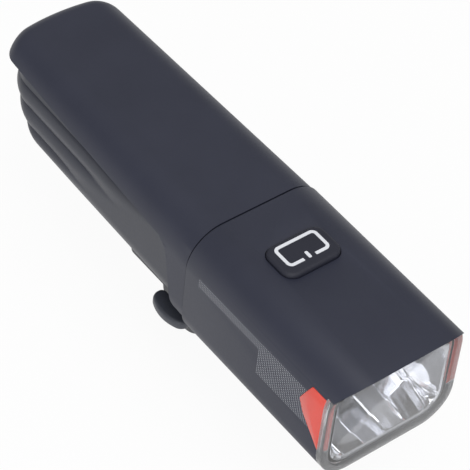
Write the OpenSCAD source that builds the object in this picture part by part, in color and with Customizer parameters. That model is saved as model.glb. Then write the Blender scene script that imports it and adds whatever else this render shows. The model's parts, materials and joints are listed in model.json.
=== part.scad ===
// Bicycle headlight on a quick-release shoe with a two-finger hinge fork.
// Millimetres. +Z is up, the beam goes toward -Y, the origin is the centre of the fork's bolt hole.

/* [Head] */
// Width of the head
head_w = 35; // [34:0.5:40]
// How far the head hangs below the rear casing
head_drop = 3.2; // [2.6:0.2:4]
// Length of the head from the visor tip to the seam
head_l = 50; // [49:0.5:60]
// Radius along the two top edges of the body
edge_r = 8.5; // [7:0.5:9.5]
// Radius along the two bottom edges of the head
base_r = 8; // [4:0.5:9]
// Thickness of the casing walls
wall = 2; // [1.6:0.1:2.3]
// How far the visor stands out past the lens
visor_reach = 3.2; // [2:0.2:4]
// How far down the sides the visor comes
visor_drop = 5; // [4:0.2:6]

/* [Optics] */
// Thickness of the lens plate
lens_t = 1.8; // [1.4:0.1:2.4]
// Length of the lens spigot inside the housing
lens_spigot = 2.2; // [1.6:0.2:3]
// Depth of the reflector bowl
bowl_depth = 14; // [11:0.5:15]
// Wall of the reflector bowl
bowl_t = 1; // [0.8:0.1:1.4]
// Length of a side window along the body
window_l = 7; // [5:0.5:9]
// Height of a side window
window_h = 15; // [11:0.5:16]
// Number of light-emitting diodes
led_count = 3; // [2:1:4]

/* [Button] */
// Width of the power button
button_w = 14.7; // [12:0.1:16]
// Length of the power button
button_l = 9.6; // [8:0.1:11]
// Corner radius of the power button
button_r = 2.8; // [1.5:0.1:3.5]
// Height of the button above the casing
button_rise = 1.05; // [0.9:0.05:1.6]
// Travel of the button
button_travel = 0.8; // [0.4:0.1:1]
// Distance from the visor tip to the button's centre
button_back = 34.6; // [34:0.2:37]

/* [Rear casing] */
// How far the rear casing steps in at the seam
seam_step = 0.3; // [0.2:0.05:0.6]
// How much narrower the tail is than the seam
tail_narrow = 3.6; // [2:0.2:5]
// Radius of the tail's corners seen from above
tail_r = 10; // [4:0.5:11]
// Radius of the tail's curve seen from above
tail_bow = 42; // [40:1:90]
// How far the lower shell steps in under the cover
shell_step = 0.85; // [0.5:0.05:1.2]
// Depth of the grooves between the ribs
rib_depth = 0.7; // [0.4:0.1:0.9]
// Height of a rib
rib_h = 3.4; // [2.4:0.1:4]
// Height of the groove between two ribs
rib_gap = 1.8; // [1.2:0.1:2.4]
// Number of ribs
rib_count = 3; // [2:1:4]
// Height of the cover's edge below the top at the tail
cover_tail = 4.6; // [4:0.2:6]
// Height of the cover's edge below the top at its collar
cover_collar = 7.6; // [6.6:0.2:9]

/* [Battery] */
// Diameter of the battery cell
battery_d = 18.4; // [17:0.1:19]
// Length of the battery cell
battery_l = 65; // [60:1:72]

/* [Charge port] */
// Width of the charge socket
port_w = 9; // [8:0.1:10]
// Height of the charge socket
port_h = 3.2; // [2.8:0.1:3.6]
// Depth of the charge socket
port_d = 7.4; // [6:0.1:8]
// Height of the charge socket's middle above the underside
port_rise = 14.9; // [14:0.1:15.5]
// Width of the rubber port cover
flap_w = 12.6; // [12:0.2:15]
// Height of the rubber port cover
flap_h = 7; // [6:0.2:7.8]

/* [Mount] */
// Distance from the visor tip back to the fork's bolt hole
fork_back = 65; // [62:0.5:68]
// Distance from the fork's bolt hole up to the shoe
fork_drop = 7.6; // [7.6:0.2:12]
// Diameter of the fork's bolt hole
fork_bore = 5.1; // [4:0.1:6]
// Radius of the fork's fingers
finger_r = 7.5; // [6:0.1:8]
// Thickness of a finger
finger_t = 3; // [2.4:0.1:4]
// Gap between the fingers
finger_gap = 3.2; // [2.6:0.1:4]
// Width of the rail's flange
rail_w = 14; // [13:0.2:16]
// Length of the rail
rail_l = 23; // [20:0.5:28]
// Thickness of the rail's flange
flange_t = 1.6; // [1.4:0.1:2.2]
// Thickness of the shoe's floor
shoe_t = 3; // [2.8:0.1:3.6]
// Travel of the release slide
release_travel = 1.8; // [1.2:0.1:2]
// Length of the release tab
tab_l = 9; // [8:0.5:14]

/* [Hidden] */
$fn = 64;

// Fits
fit = 0.1;
play = 0.15;
run_fit = 0.06;

// Optics and electronics
lens_wall = 1.2;
window_lean = 2.7;
window_point = 5.5;
window_knee = 8.7;
window_knee_in = 1.5;
bowl_rim = 1.5;
bowl_corner = 4.5;
led_board_t = 1.5;
led_board_l = 10;
led_size = 3.4;
led_h = 0.9;
led_pitch = 5.4;
led_gap = 0.3;
led_back = 6;
spreader_t = 1.6;
spreader_block = 3;
spreader_h = 15;
fin_gap = 1.2;
fin_depth = 1.6;
fin_count = 7;
button_flange = 1.2;
button_flange_t = 1.1;
button_bevel = 0.4;
button_stem = 1.6;
stem_d = 4;
switch_size = 6;
switch_h = 3.1;
plunger_d = 3.4;
plunger_rise = 1.2;
plunger_seat = 1.4;
board_t = 1.2;
board_front = 6.4;
board_gap = 1.2;
ledge_w = 3.4;
ledge_h = 2.4;
board_screw_r = 0.8;
board_screw_head_r = 1.5;
board_screw_head_h = 0.9;
board_screw_in = 2;
chip_w = 5;
chip_l = 6;
chip_h = 3;
coil_w = 7;
coil_h = 4;
capacitor_w = 4;
capacitor_l = 5;
capacitor_h = 2;
part_in = 1;
part_pitch = 8;

// Rear casing and battery
gasket_t = 0.4;
gasket_inset = 0.5;
spigot_l = 4;
spigot_t = 1.4;
spigot_root = 2.5;
shell_gap = 0.12;
shell_r = 7.2;
shell_front = 20;
tail_up_r = 4.5;
tail_down_r = 17;
collar_foot = 3.4;
collar_bend = 11.6;
collar_bend_r = 4.2;
rib_top = 2;
cradle_t = 0.8;
cradle_l = 38;
cradle_side = 0.6;
cradle_drop = 3;
cell_headroom = 3.2;
cell_nose = 6;
port_space = 13.3;
strip_w = 6;
strip_t = 0.3;
strip_drop = 5;
lead_r = 0.8;
led_lead_r = 0.7;
led_lead_x = 4;
led_lead_in = 1.2;
socket_wall = 0.3;
socket_room = 0.8;
socket_over = 1.8;
tongue_t = 0.7;
tongue_side = 1.2;
tongue_in = 1.4;
flap_t = 1.2;
flap_room = 0.3;
flap_back = 0.2;
plug_l = 1;
post_r = 1.8;
boss_r = 3;
front_boss = 6;
front_post = 10.5;
rear_post = 10;

// Screws
screw_r = 1.1;
screw_head_r = 1.9;
screw_head_h = 1.1;
screw_sink = 1.7;
rear_sink = 4;
shell_screw_l = 11.6;
head_screw_x = 7;
head_screw_l = 4.4;
rail_screw_front = 7;
rail_screw_rear = 3.5;

// Mount
neck_w = 9.2;
neck_h = 1.75;
rail_back = 6;
shoe_wall = 2.35;
shoe_stop = 1.7;
shoe_end = 1;
shoe_r = 2.4;
shoe_room = 0.35;
slide_back = 2.6;
slide_t = 1.8;
slide_w = 3;
slide_over = 0.6;
peg_w = 2;
peg_h = 1.2;
peg_in = 3.2;
tab_w = 3.2;
tab_h = 2;
tab_lift = 0.4;
tab_gap = 1.5;
tab_front = 4.2;
tab_groove = 0.35;
spring_r = 0.6;
spring_wire = 0.22;
spring_turns = 6;
spring_l = 6;
wire_sides = 6;

// Cuts run this far past the faces they open
past = 1;

// Heights, counted up from the fork's bolt hole
z_slot = fork_drop + shoe_t;
z_rail = z_slot + play;
z_base = z_rail + flange_t + neck_h;
rear_h = battery_d + 2 * wall + cradle_t + cell_headroom;
z_top = z_base + rear_h;
z_head = z_base - head_drop;
z_floor = z_base + wall;
z_cell = z_floor + cradle_t + battery_d / 2;
z_led = z_top - wall - spreader_t - led_board_t;
z_flange = z_top - wall - fit / 2;
z_led_lead = z_led + led_lead_r / 3;
z_stem = z_flange - button_flange_t - button_stem;
z_switch = z_stem - fit - plunger_rise;
z_board = z_switch - switch_h;
z_port = z_base + port_rise;
z_boss = z_port - port_h / 2 - board_t;
z_slide = fork_drop + (shoe_t - slide_t) / 2;

// Places along the body
y_tip = -fork_back;
y_lens = y_tip + visor_reach;
y_face = y_lens + lens_t;
y_gasket = y_face + lens_spigot;
y_bowl = y_gasket + gasket_t;
y_button = y_tip + button_back;
y_seam = y_tip + head_l;
y_cover = y_seam + gasket_t;
y_cell = y_seam - cell_nose;
y_cradle = y_seam + front_post + boss_r + play;
y_port_board = y_cell + battery_l + 2 * strip_t;
y_board_front = y_button - board_front;
y_board_rear = y_cell - board_gap;
rear_l = battery_l - cell_nose + port_space + wall;
y_rear = y_seam + rear_l;
y_flap = y_rear - shell_step - flap_t;
y_socket = y_rear - wall - shell_step - socket_room;
y_rail = y_seam + rail_back;
y_shoe = y_rail - shoe_stop;
y_shoe_end = y_rail + rail_l + shoe_end;
y_slide = y_rail + slide_back;
y_tab = y_slide - tab_front;

// Widths and places across the body
inner_w = head_w - 2 * wall;
flat_half = head_w / 2 - edge_r;
rear_w = head_w - 2 * seam_step;
tail_w = rear_w - tail_narrow;
taper = atan(tail_narrow / 2 / rear_l);
bowl_w = inner_w - 2 * bowl_rim;
bowl_top = z_led - led_h - led_gap - bowl_t;
bowl_base = z_head + wall + bowl_rim;
bowl_h = bowl_top - bowl_base;
bowl_z = (bowl_top + bowl_base) / 2;
bowl_reach = norm([bowl_w, bowl_h]) / 2;
bowl_r = (pow(bowl_reach, 2) + pow(bowl_depth, 2)) / (2 * bowl_depth);
ledge_x = inner_w / 2 - ledge_w / 2;
front_post_x = battery_d / 2 + post_r + play;
rear_post_x = tail_w / 2 - wall - shell_step - boss_r;
lead_x = (battery_d / 2 + lead_r + fit) * cos(45);
z_lead = z_cell + lead_x;
shoe_w = rail_w + 2 * play + 2 * shoe_wall;
tab_x = shoe_w / 2 + release_travel + tab_gap;
slide_end = -peg_in + peg_w / 2 + slide_over;
spring_x = slide_end + fit;
key_w = peg_w + 2 * play;

// Screw posts of the rear casing: x, y, height where boss and post meet, height of the screw's head
posts = [for (s = [-1, 1]) each [
    [s * front_post_x, y_seam + front_post, z_base + front_boss, z_base + screw_sink],
    [s * rear_post_x, y_rear - rear_post, z_boss, z_base + rear_sink]
]];

// Colours
charcoal = "#2b2d31";
black = "#17181a";
steel = "#b9bcc0";
board_green = "#1f5a3c";

// Extrudes an outline drawn in X and Z from y0 to y1
module along_y(y0, y1) {
    translate([0, y1, 0])
        rotate([90, 0, 0])
            linear_extrude(y1 - y0)
                children();
}

// Extrudes an outline drawn in Y and Z from x0 to x1
module along_x(x0, x1) {
    translate([x0, 0, 0])
        rotate([90, 0, 90])
            linear_extrude(x1 - x0)
                children();
}

// Box given by its two opposite corners
module block(a, b) {
    translate(a)
        cube(b - a);
}

// Rectangle with round corners, centred
module round_rect(w, l, r) {
    square([w - 2 * r, l], center = true);
    square([w, l - 2 * r], center = true);
    for (x = [-1, 1], y = [-1, 1])
        translate([x * (w / 2 - r), y * (l / 2 - r)])
            circle(r);
}

// Upright section with one radius at the top corners and another at the bottom corners
module section(w, z0, z1, top_r, low_r) {
    translate([-w / 2, z0 + low_r])
        square([w, z1 - z0 - top_r - low_r]);
    translate([-w / 2 + top_r, z0 + low_r])
        square([w - 2 * top_r, z1 - z0 - low_r]);
    translate([-w / 2 + low_r, z0])
        square([w - 2 * low_r, z1 - z0 - top_r]);
    for (s = [-1, 1]) {
        translate([s * (w / 2 - top_r), z1 - top_r])
            circle(top_r);
        translate([s * (w / 2 - low_r), z0 + low_r])
            circle(low_r);
    }
}

// Section of the head, drawn in by the given amount
module head_section(inset) {
    section(head_w - 2 * inset, z_head + inset, z_top - inset, edge_r - inset, base_r - inset);
}

// Side view of the housing's front: raked visor over a square face
module front_profile() {
    polygon([
        [y_tip, z_top + past],
        [y_tip, z_top],
        [y_lens, z_top - visor_drop],
        [y_face, z_top - visor_drop],
        [y_face, z_head - past],
        [y_seam + past, z_head - past],
        [y_seam + past, z_top + past]
    ]);
}

// Side view of a side window, grown by the given gap all round and run out at the front
module window_outline(gap, front) {
    top = z_top - visor_drop - lens_wall / 2;
    polygon([
        [y_face - front, top + gap],
        [y_face + window_l - window_lean, top + gap],
        [y_face + window_l + gap, top - window_point],
        [y_face + window_l - window_knee_in + gap, top - window_knee],
        [y_face + gap, top - window_h - gap],
        [y_face - front, top - window_h - gap]
    ]);
}

// Countersunk screw pointing up, the face of its head at the given height
module screw(z, length) {
    translate([0, 0, z]) {
        cylinder(h = screw_head_h, r1 = screw_head_r, r2 = screw_r);
        cylinder(h = length, r = screw_r);
    }
}

// Room for a countersunk screw, open below its head
module screw_room(z, length, below = past) {
    translate([0, 0, z]) {
        translate([0, 0, -below])
            cylinder(h = below, r = screw_head_r + fit);
        cylinder(h = screw_head_h + fit, r1 = screw_head_r + fit, r2 = screw_r);
        cylinder(h = length + fit, r = screw_r + fit / 2);
    }
}

module board_screw_places() {
    for (s = [-1, 1], y = [y_board_front + board_screw_in, y_board_rear - board_screw_in])
        translate([s * ledge_x, y, z_board - board_t])
            children();
}

module led_lead_places() {
    for (s = [-1, 1])
        translate([s * led_lead_x, 0, 0])
            children();
}

module head_screw_places() {
    for (s = [-1, 1])
        translate([s * head_screw_x, y_seam - spigot_l / 2, 0])
            children();
}

module rail_screw_places() {
    for (y = [y_rail + rail_screw_front, y_rail + rail_l - rail_screw_rear])
        translate([0, y, 0])
            children();
}

// Wall of the head between two insets, from y0 to y1
module head_ring(outer, inner, y0, y1) {
    difference() {
        along_y(y0, y1)
            head_section(outer);
        along_y(y0 - past, y1 + past)
            head_section(inner);
    }
}

module head_housing() {
    color(charcoal)
        difference() {
            union() {
                intersection() {
                    head_ring(0, wall, y_tip, y_seam);
                    along_x(-head_w, head_w)
                        front_profile();
                }
                for (s = [-1, 1])
                    translate([s * (ledge_x + wall / 4), 0, 0])
                        block([-ledge_w / 2 - wall / 4, y_board_front, z_board - board_t - ledge_h],
                            [ledge_w / 2 + wall / 4, y_board_rear, z_board - board_t]);
            }
            translate([0, y_button, z_top - wall - past])
                linear_extrude(wall + 2 * past)
                    round_rect(button_w + 2 * play, button_l + 2 * play, button_r + play);
            for (s = [0, 1])
                mirror([s, 0, 0])
                    along_x(-head_w, -flat_half)
                        window_outline(fit, past);
            board_screw_places()
                translate([0, 0, -ledge_h + fit])
                    cylinder(h = ledge_h, r = board_screw_r + fit / 2);
            head_screw_places()
                screw_room(z_head, head_screw_l);
        }
}

// Lens plate under the visor, with a spigot that goes into the housing
module front_lens() {
    color("#dfe6ea", 0.4) {
        intersection() {
            along_y(y_lens, y_face)
                head_section(0);
            block([-head_w, y_tip, z_head - past], [head_w, y_seam, z_top - visor_drop - fit]);
        }
        along_y(y_lens, y_face)
            head_section(wall + fit);
        head_ring(wall + fit, wall + fit + lens_wall, y_face - fit, y_gasket);
    }
}

module lens_gasket() {
    color(black)
        head_ring(wall + fit, wall + fit + lens_wall, y_gasket, y_bowl);
}

// Reflector bowl from y0 back, grown by the given amount: a straight trough closed by part of a sphere
module bowl(y0, grow) {
    intersection() {
        along_y(y0, y_bowl + bowl_depth + 2 * bowl_t)
            translate([0, bowl_z])
                round_rect(bowl_w + 2 * grow, bowl_h + 2 * grow, bowl_corner + grow);
        translate([0, y_bowl + bowl_depth - bowl_r, bowl_z])
            sphere(bowl_r + grow);
    }
}

module reflector() {
    led_half = (led_count * led_pitch - led_pitch + led_size) / 2 + led_gap;
    color("#d7d9dc")
        difference() {
            union() {
                bowl(y_bowl, bowl_t);
                along_y(y_bowl, y_bowl + bowl_t)
                    head_section(wall + fit);
            }
            bowl(y_bowl - past, 0);
            translate([0, y_bowl + led_back, bowl_top])
                cube([2 * led_half, led_size + 2 * led_gap, 4 * bowl_t], center = true);
        }
}

module side_window() {
    color("#c8403a", 0.8)
        intersection() {
            head_ring(0, wall, y_face, y_seam);
            along_x(-head_w, -flat_half)
                window_outline(0, 0);
        }
}

module side_window_left() {
    side_window();
}

module side_window_right() {
    mirror([1, 0, 0])
        side_window();
}

// Plate under the roof and a finned block behind the reflector
module heat_spreader() {
    y_back = y_board_front - fit;
    z_spreader = z_led - spreader_h;
    fin_pitch = 2 * flat_half / fin_count;
    color("#a9acb0")
        difference() {
            union() {
                block([-flat_half, y_bowl + bowl_t, z_top - wall - spreader_t],
                    [flat_half, y_back, z_top - wall]);
                block([-flat_half, y_back - spreader_block, z_spreader],
                    [flat_half, y_back, z_top - wall]);
            }
            led_lead_places()
                along_y(y_back - spreader_block - past, y_back + past)
                    translate([0, z_led_lead])
                        circle(led_lead_r + play);
            for (i = [0 : fin_count - 1])
                translate([(i - (fin_count - 1) / 2) * fin_pitch, 0, 0])
                    block([-fin_gap / 2, y_back - fin_depth, z_spreader - past],
                        [fin_gap / 2, y_back + past, z_led]);
        }
}

module led_board() {
    color("#e8e8e4")
        block([-flat_half, y_bowl + bowl_t, z_led],
            [flat_half, y_bowl + bowl_t + led_board_l, z_led + led_board_t]);
}

module led_emitters() {
    color("#f3d879")
        for (i = [0 : led_count - 1])
            translate([(i - (led_count - 1) / 2) * led_pitch, y_bowl + led_back, z_led - led_h / 2])
                cube([led_size, led_size, led_h], center = true);
}

// Two leads that run from the back edge of the diode board through the finned block to the control board
module led_leads() {
    y_drop = y_board_front + led_lead_in;
    color(black)
        led_lead_places() {
            along_y(y_bowl + bowl_t + led_board_l, y_drop)
                translate([0, z_led_lead])
                    circle(led_lead_r);
            translate([0, y_drop, z_led_lead])
                sphere(led_lead_r);
            translate([0, y_drop, z_board])
                cylinder(h = z_led_lead - z_board, r = led_lead_r);
        }
}

// Rubber cap held under the roof by its flange, with a stem that meets the switch
module button_cap() {
    color(black)
        translate([0, y_button, z_flange]) {
            translate([0, 0, -button_flange_t])
                linear_extrude(button_flange_t)
                    round_rect(button_w + 2 * button_flange, button_l + 2 * button_flange,
                        button_r + button_flange);
            linear_extrude(z_top - z_flange + button_rise - button_bevel)
                round_rect(button_w, button_l, button_r);
            linear_extrude(z_top - z_flange + button_rise)
                round_rect(button_w - 2 * button_bevel, button_l - 2 * button_bevel,
                    button_r - button_bevel);
            translate([0, 0, -button_flange_t - button_stem])
                cylinder(h = button_flange_t + button_stem, d = stem_d);
        }
}

module tact_switch() {
    color(black)
        translate([0, y_button, 0])
            difference() {
                translate([-switch_size / 2, -switch_size / 2, z_board])
                    cube([switch_size, switch_size, switch_h]);
                translate([0, 0, z_switch - plunger_seat - button_travel - fit])
                    cylinder(h = switch_h, d = plunger_d + 2 * run_fit);
            }
}

module switch_plunger() {
    color("#d8d4c8")
        translate([0, y_button, z_switch - plunger_seat])
            cylinder(h = plunger_seat + plunger_rise, d = plunger_d);
}

module control_board() {
    color(board_green)
        difference() {
            block([-inner_w / 2 + fit, y_board_front, z_board - board_t],
                [inner_w / 2 - fit, y_board_rear, z_board]);
            board_screw_places()
                translate([0, 0, -past])
                    cylinder(h = board_t + 2 * past, r = board_screw_r + fit / 2);
        }
}

// Driver chip, coil and capacitor under the board
module board_parts() {
    sizes = [[chip_w, chip_l, chip_h], [coil_w, coil_w, coil_h], [capacitor_w, capacitor_l, capacitor_h]];
    color("#303236")
        for (i = [0 : 2])
            translate([(i - 1) * part_pitch, y_board_front + part_in + coil_w / 2,
                z_board - board_t - sizes[i][2] / 2])
                cube(sizes[i], center = true);
}

module board_screws() {
    color(steel)
        board_screw_places() {
            translate([0, 0, -ledge_h + play])
                cylinder(h = ledge_h + board_t, r = board_screw_r);
            translate([0, 0, board_t])
                cylinder(h = board_screw_head_h, r = board_screw_head_r);
        }
}

module head_screws() {
    color(steel)
        head_screw_places()
            screw(z_head, head_screw_l);
}

module seam_gasket() {
    color(black)
        head_ring(gasket_inset, wall, y_seam, y_cover);
}

// One flank of the rear casing, leaning in toward the tail, its outer face at x = -half at the seam
module flank(half, z0, top_r, low_r) {
    translate([-half, y_seam, 0])
        rotate([0, 0, -taper])
            along_y(-rear_l / 4, rear_l * 1.25)
                translate([rear_w, 0])
                    section(2 * rear_w, z0, z_top, top_r, low_r);
}

// Side view of the rear casing with its tail rounded at the top and, by the given radius, at the bottom
module tail_profile(tail, z0, low_r) {
    y0 = y_seam - spigot_l;
    translate([y0, z0])
        square([tail - low_r - y0, z_top - tail_up_r - z0]);
    translate([y0, z0 + low_r])
        square([tail - tail_up_r - y0, z_top - z0 - low_r]);
    translate([y0, z0 + low_r])
        square([tail - y0, z_top - tail_up_r - z0 - low_r]);
    translate([tail - tail_up_r, z_top - tail_up_r])
        circle(tail_up_r);
    translate([tail - low_r, z0 + low_r])
        circle(low_r);
}

// Plan of the tail: round corners and a shallow curve across
module tail_plan(tail, inset) {
    corner = tail_r - inset / 2;
    corner_x = tail_w / 2 - inset - corner + corner * tan(taper);
    intersection() {
        union() {
            translate([-rear_w, y_seam - spigot_l])
                square([2 * rear_w, tail - corner - y_seam + spigot_l]);
            translate([-corner_x, y_seam])
                square([2 * corner_x, tail - y_seam]);
            for (s = [-1, 1])
                translate([s * corner_x, tail - corner])
                    circle(corner);
        }
        translate([0, tail - tail_bow])
            circle(tail_bow);
    }
    translate([-rear_w, y_seam - spigot_l])
        square([2 * rear_w, tail - y_seam + spigot_l - tail_bow / 4]);
}

// Rear casing as a solid drawn in on its flanks and tail, from z0 up to the top less a drop
module rear_solid(inset, drop, z0, low_r) {
    tail = y_rear - inset;
    translate([0, 0, -drop])
        intersection() {
            flank(rear_w / 2 - inset, z0 + drop, edge_r - inset, low_r);
            mirror([1, 0, 0])
                flank(rear_w / 2 - inset, z0 + drop, edge_r - inset, low_r);
            translate([0, 0, z_head - past])
                linear_extrude(z_top - z_head + 2 * past + drop)
                    tail_plan(tail, inset);
            along_x(-rear_w, rear_w)
                tail_profile(tail, z0 + drop, tail_down_r - drop);
        }
}

// Side view of what lies above the cover's edge, pushed out by the given gap
module cover_outline(gap) {
    y_bend = y_seam + collar_bend + gap;
    z_bend = z_top - cover_collar - collar_bend_r - gap;
    polygon(concat(
        [[y_rear + past, z_top + past], [y_cover, z_top + past], [y_cover, z_head - past]],
        [[y_seam + collar_foot + gap, z_head - past]],
        [for (a = [172 : -10 : 92]) [y_bend + collar_bend_r * cos(a), z_bend + collar_bend_r * sin(a)]],
        [[y_rear + past, z_top - cover_tail - gap]]
    ));
}

// Top cover: its collar wraps the seam and its spigot goes into the head
module rear_cover() {
    color(charcoal)
        difference() {
            union() {
                difference() {
                    intersection() {
                        rear_solid(0, 0, z_head + seam_step, base_r);
                        along_x(-head_w, head_w)
                            cover_outline(0);
                    }
                    rear_solid(wall, wall, z_floor, shell_r - wall);
                }
                head_ring(wall + fit, wall + fit + spigot_t, y_seam - spigot_l, y_cover + spigot_root);
                head_ring(wall / 2 + seam_step, wall + fit + spigot_t, y_cover, y_cover + spigot_root);
                intersection() {
                    for (p = posts)
                        translate([p[0], p[1], p[2] + fit])
                            cylinder(h = rear_h, r = post_r);
                    rear_solid(wall / 2, wall / 2, z_base, shell_r);
                }
            }
            head_screw_places()
                screw_room(z_head, head_screw_l);
            for (p = posts)
                translate([p[0], p[1], p[3]])
                    cylinder(h = shell_screw_l + fit, r = screw_r + fit / 2);
        }
}

// Outside of the lower shell: plain behind the collar, ribbed from there round the tail
module ribbed_solid() {
    rear_solid(shell_step + rib_depth, 0, z_base, shell_r);
    intersection() {
        rear_solid(shell_step, 0, z_base, shell_r);
        union() {
            block([-head_w, y_seam, z_base - past], [head_w, y_seam + shell_front, z_top]);
            for (i = [1 : rib_count])
                translate([0, 0, z_top - cover_collar - rib_top + rib_gap - i * (rib_h + rib_gap)])
                    block([-head_w, y_seam, 0], [head_w, y_rear + past, rib_h]);
        }
    }
}

module lower_shell() {
    color("#26282b")
        difference() {
            union() {
                difference() {
                    ribbed_solid();
                    rear_solid(wall + shell_step + rib_depth, wall, z_floor, shell_r - wall);
                    along_x(-head_w, head_w)
                        cover_outline(shell_gap);
                    block([-head_w, y_seam - head_l, z_base - past], [head_w, y_cover, z_top + past]);
                }
                intersection() {
                    for (p = posts)
                        translate([p[0], p[1], z_base])
                            cylinder(h = p[2] - z_base, r = boss_r);
                    rear_solid(shell_step + rib_depth, 0, z_base, shell_r);
                }
            }
            for (p = posts)
                translate([p[0], p[1], 0])
                    screw_room(p[3], shell_screw_l, rear_sink + past);
            rail_screw_places()
                translate([0, 0, z_base - past])
                    cylinder(h = wall + 2 * past, r = screw_r + fit / 2);
            along_y(y_socket - past, y_rear)
                translate([0, z_port])
                    slot_outline(2 * socket_room);
            translate([0, y_flap - flap_back, z_port])
                block([-flap_w / 2 - flap_room, 0, -flap_h / 2 - flap_room],
                    [flap_w / 2 + flap_room, flap_t + shell_step + past, flap_h / 2 + flap_room]);
        }
}

module shell_screws() {
    color(steel)
        for (p = posts)
            translate([p[0], p[1], 0])
                screw(p[3], shell_screw_l);
}

module battery_cell() {
    color("#2f6fb5")
        translate([0, y_cell, z_cell])
            rotate([-90, 0, 0])
                cylinder(h = battery_l, d = battery_d);
}

// Trough that carries the cell on the lower shell's floor
module battery_cradle() {
    color("#3a3c40")
        difference() {
            along_y(y_cradle, y_cradle + cradle_l)
                section(battery_d + 2 * cradle_side, z_floor, z_cell - cradle_drop,
                    cradle_side, shell_r - wall);
            translate([0, y_cell, z_cell])
                rotate([-90, 0, 0])
                    cylinder(h = battery_l, d = battery_d + fit);
        }
}

module battery_tabs() {
    color("#c9c9c4") {
        translate([0, y_cell - strip_t, z_cell])
            block([-strip_w / 2, 0, -strip_drop], [strip_w / 2, strip_t, strip_drop]);
        translate([0, y_cell + battery_l, z_cell])
            block([-strip_w / 2, 0, -strip_drop], [lead_x + lead_r, strip_t, lead_x + lead_r]);
    }
}

// Lead that stands on the control board and runs back over the cell to y_end
module long_lead(y_end) {
    y_drop = y_board_rear - 2 * lead_r;
    translate([lead_x, y_drop, z_board])
        cylinder(h = z_lead - z_board, r = lead_r);
    translate([lead_x, y_drop, z_lead]) {
        sphere(lead_r);
        rotate([-90, 0, 0])
            cylinder(h = y_end - y_drop, r = lead_r);
    }
}

// One lead climbs from the front tab to the control board, the other goes to the rear tab
module battery_leads() {
    color("#b03030") {
        translate([0, y_cell - strip_t - lead_r, z_cell])
            cylinder(h = z_board - board_t - z_cell, r = lead_r);
        long_lead(y_cell + battery_l);
    }
}

// Lead from the control board down to the socket's board
module charge_leads() {
    y_end = y_port_board + lead_r + play;
    color(black)
        mirror([1, 0, 0]) {
            long_lead(y_end);
            translate([lead_x, y_end, z_lead])
                sphere(lead_r);
            translate([lead_x, y_end, z_boss + board_t])
                cylinder(h = z_lead - z_boss - board_t, r = lead_r);
        }
}

// Mouth of the charge socket, grown by the given amount
module slot_outline(grow) {
    r = (port_h + grow) / 2;
    for (s = [-1, 1])
        translate([s * ((port_w + grow) / 2 - r), 0])
            circle(r);
    square([port_w + grow - 2 * r, 2 * r], center = true);
}

// Board that lies on the two rear bosses under the charge socket
module port_board() {
    half = rear_post_x - post_r - play;
    color(board_green)
        block([-half, y_port_board, z_boss],
            [half, y_socket - socket_over, z_boss + board_t]);
}

module charge_port() {
    color(steel)
        difference() {
            along_y(y_socket - port_d - 2 * socket_wall, y_socket)
                translate([0, z_port])
                    slot_outline(0);
            along_y(y_socket - port_d, y_socket + past)
                translate([0, z_port])
                    slot_outline(-2 * socket_wall);
        }
}

module port_tongue() {
    color(black)
        along_y(y_socket - port_d, y_socket - tongue_in)
            translate([0, z_port])
                square([port_w - 2 * tongue_side, tongue_t], center = true);
}

// Rubber flap that turns about the round bead along its lower edge
module port_cover() {
    bead_z = z_port - flap_h / 2 + flap_t / 2;
    color(black) {
        along_x(-flap_w / 2, flap_w / 2) {
            translate([y_flap, bead_z])
                square([flap_t, flap_h - flap_t / 2]);
            translate([y_flap + flap_t / 2, bead_z])
                circle(flap_t / 2);
        }
        along_y(y_flap - plug_l, y_flap + flap_t / 2)
            translate([0, z_port])
                slot_outline(0);
    }
}

// T-section rail with a keyway under it that lets the release peg out toward the front
module mount_rail() {
    key_h = peg_h + play;
    color(black)
        difference() {
            union() {
                block([-rail_w / 2, y_rail, z_rail], [rail_w / 2, y_rail + rail_l, z_rail + flange_t]);
                block([-neck_w / 2, y_rail, z_rail], [neck_w / 2, y_rail + rail_l, z_base]);
            }
            rail_screw_places()
                screw_room(z_rail, z_base - z_rail);
            translate([-peg_in - key_w / 2, y_slide - key_w / 2, z_rail - past])
                cube([key_w + release_travel, key_w, key_h + past]);
            translate([-peg_in - key_w / 2 + release_travel, y_rail - past, z_rail - past])
                cube([key_w, slide_back + past, key_h + past]);
        }
}

module rail_screws() {
    color(steel)
        rail_screw_places()
            screw(z_rail, z_floor - z_rail - fit);
}

// Outline of one hinge finger seen from the side
module finger_outline() {
    circle(finger_r);
    translate([-finger_r, 0])
        square([2 * finger_r, z_slide]);
}

// Shoe that the rail slides into, on a two-finger hinge fork
module mount_shoe() {
    finger_x = (finger_gap + finger_t) / 2;
    color(black)
        difference() {
            union() {
                translate([0, (y_shoe + y_shoe_end) / 2, fork_drop])
                    linear_extrude(z_base - shoe_room - fork_drop)
                        round_rect(shoe_w, y_shoe_end - y_shoe, shoe_r);
                for (s = [-1, 1])
                    along_x(s * finger_x - finger_t / 2, s * finger_x + finger_t / 2)
                        finger_outline();
            }
            block([-rail_w / 2 - play, y_rail - play, z_slot],
                [rail_w / 2 + play, y_shoe_end + past, z_rail + flange_t + play]);
            block([-neck_w / 2 - play, y_rail - play, z_slot],
                [neck_w / 2 + play, y_shoe_end + past, z_base]);
            block([-shoe_w, y_slide - slide_w / 2 - run_fit, z_slide - run_fit],
                [spring_x + spring_l + fit, y_slide + slide_w / 2 + run_fit, z_slide + slide_t + run_fit]);
            translate([-peg_in - key_w / 2, y_slide - key_w / 2, z_slide])
                cube([key_w + release_travel, key_w, shoe_t]);
            rotate([0, 90, 0])
                cylinder(h = head_w, d = fork_bore, center = true);
        }
}

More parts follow.
